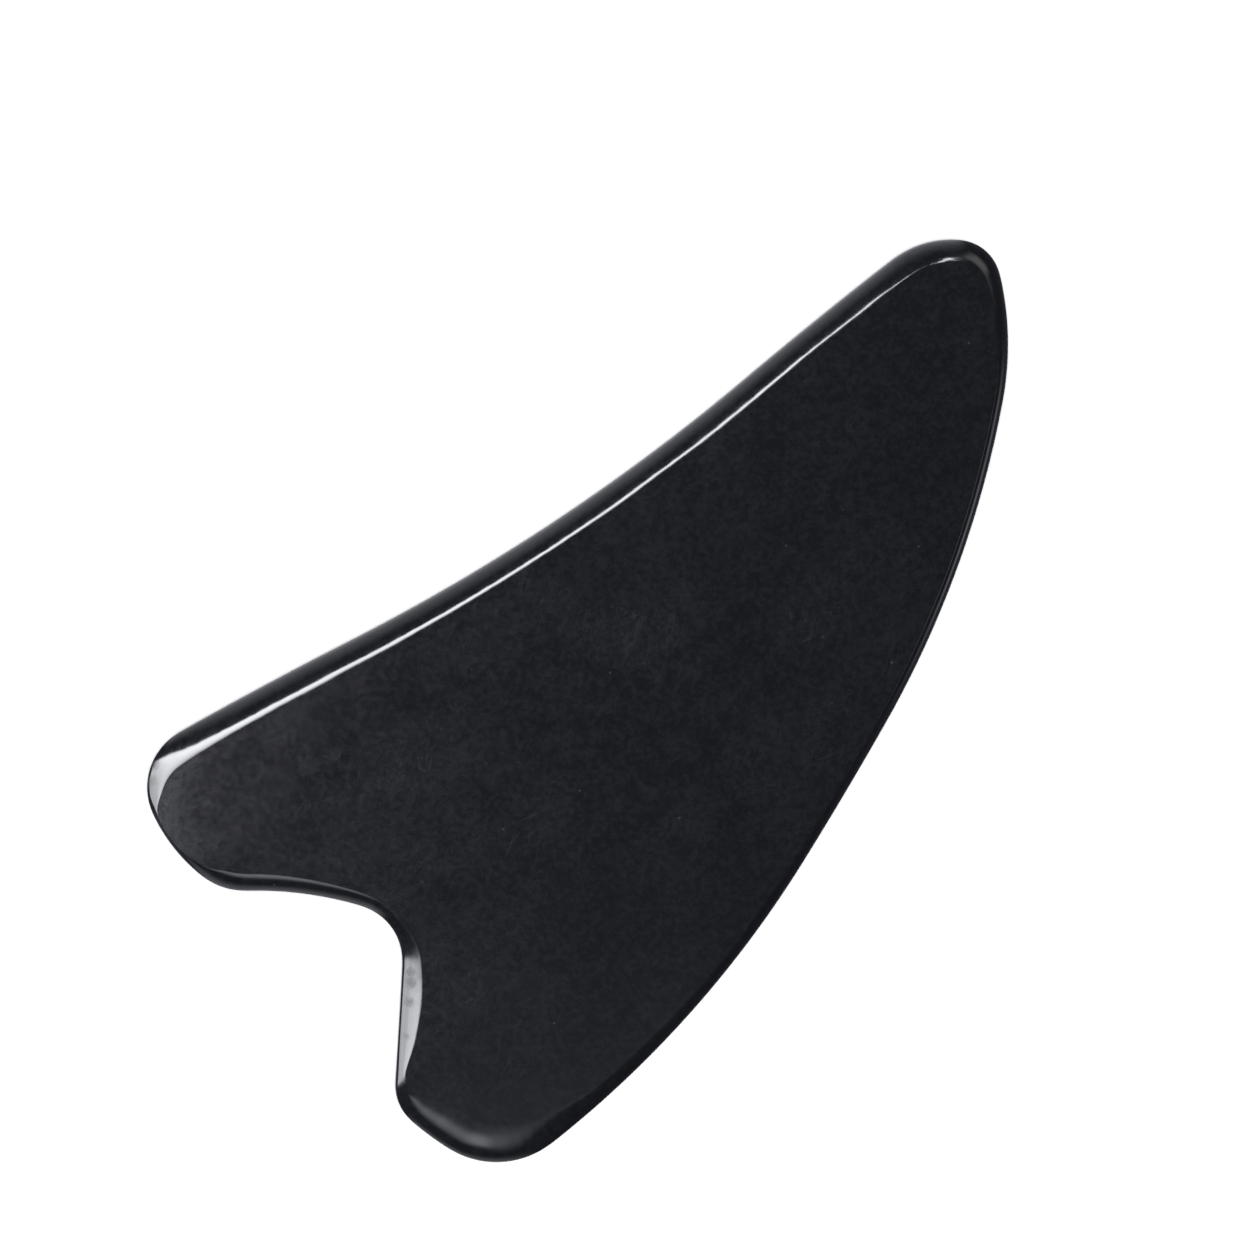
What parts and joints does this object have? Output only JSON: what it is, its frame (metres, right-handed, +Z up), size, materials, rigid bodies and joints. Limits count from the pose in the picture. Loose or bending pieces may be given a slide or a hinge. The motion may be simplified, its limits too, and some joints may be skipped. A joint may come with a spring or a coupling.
{
  "type": "gua sha scraper",
  "caption": "Polished dark stone massage board with a thick hollow back, a thinner curved belly edge, a rounded tip and a forked tail.",
  "frame": {"origin": "middle of the outline's box, on the lower face", "axes": "+X along the length to the rounded tip, +Y to the thick hollow back, +Z up out of the upper face"},
  "size_m": [0.11, 0.0599, 0.0068],
  "materials": {
    "stone": "near-black stone, ground and polished to a soft gloss, with faint grey clouding and fine hairline scratches"
  },
  "bodies": {
    "root": {"scraper_board": "stone"}
  },
  "joints": []
}
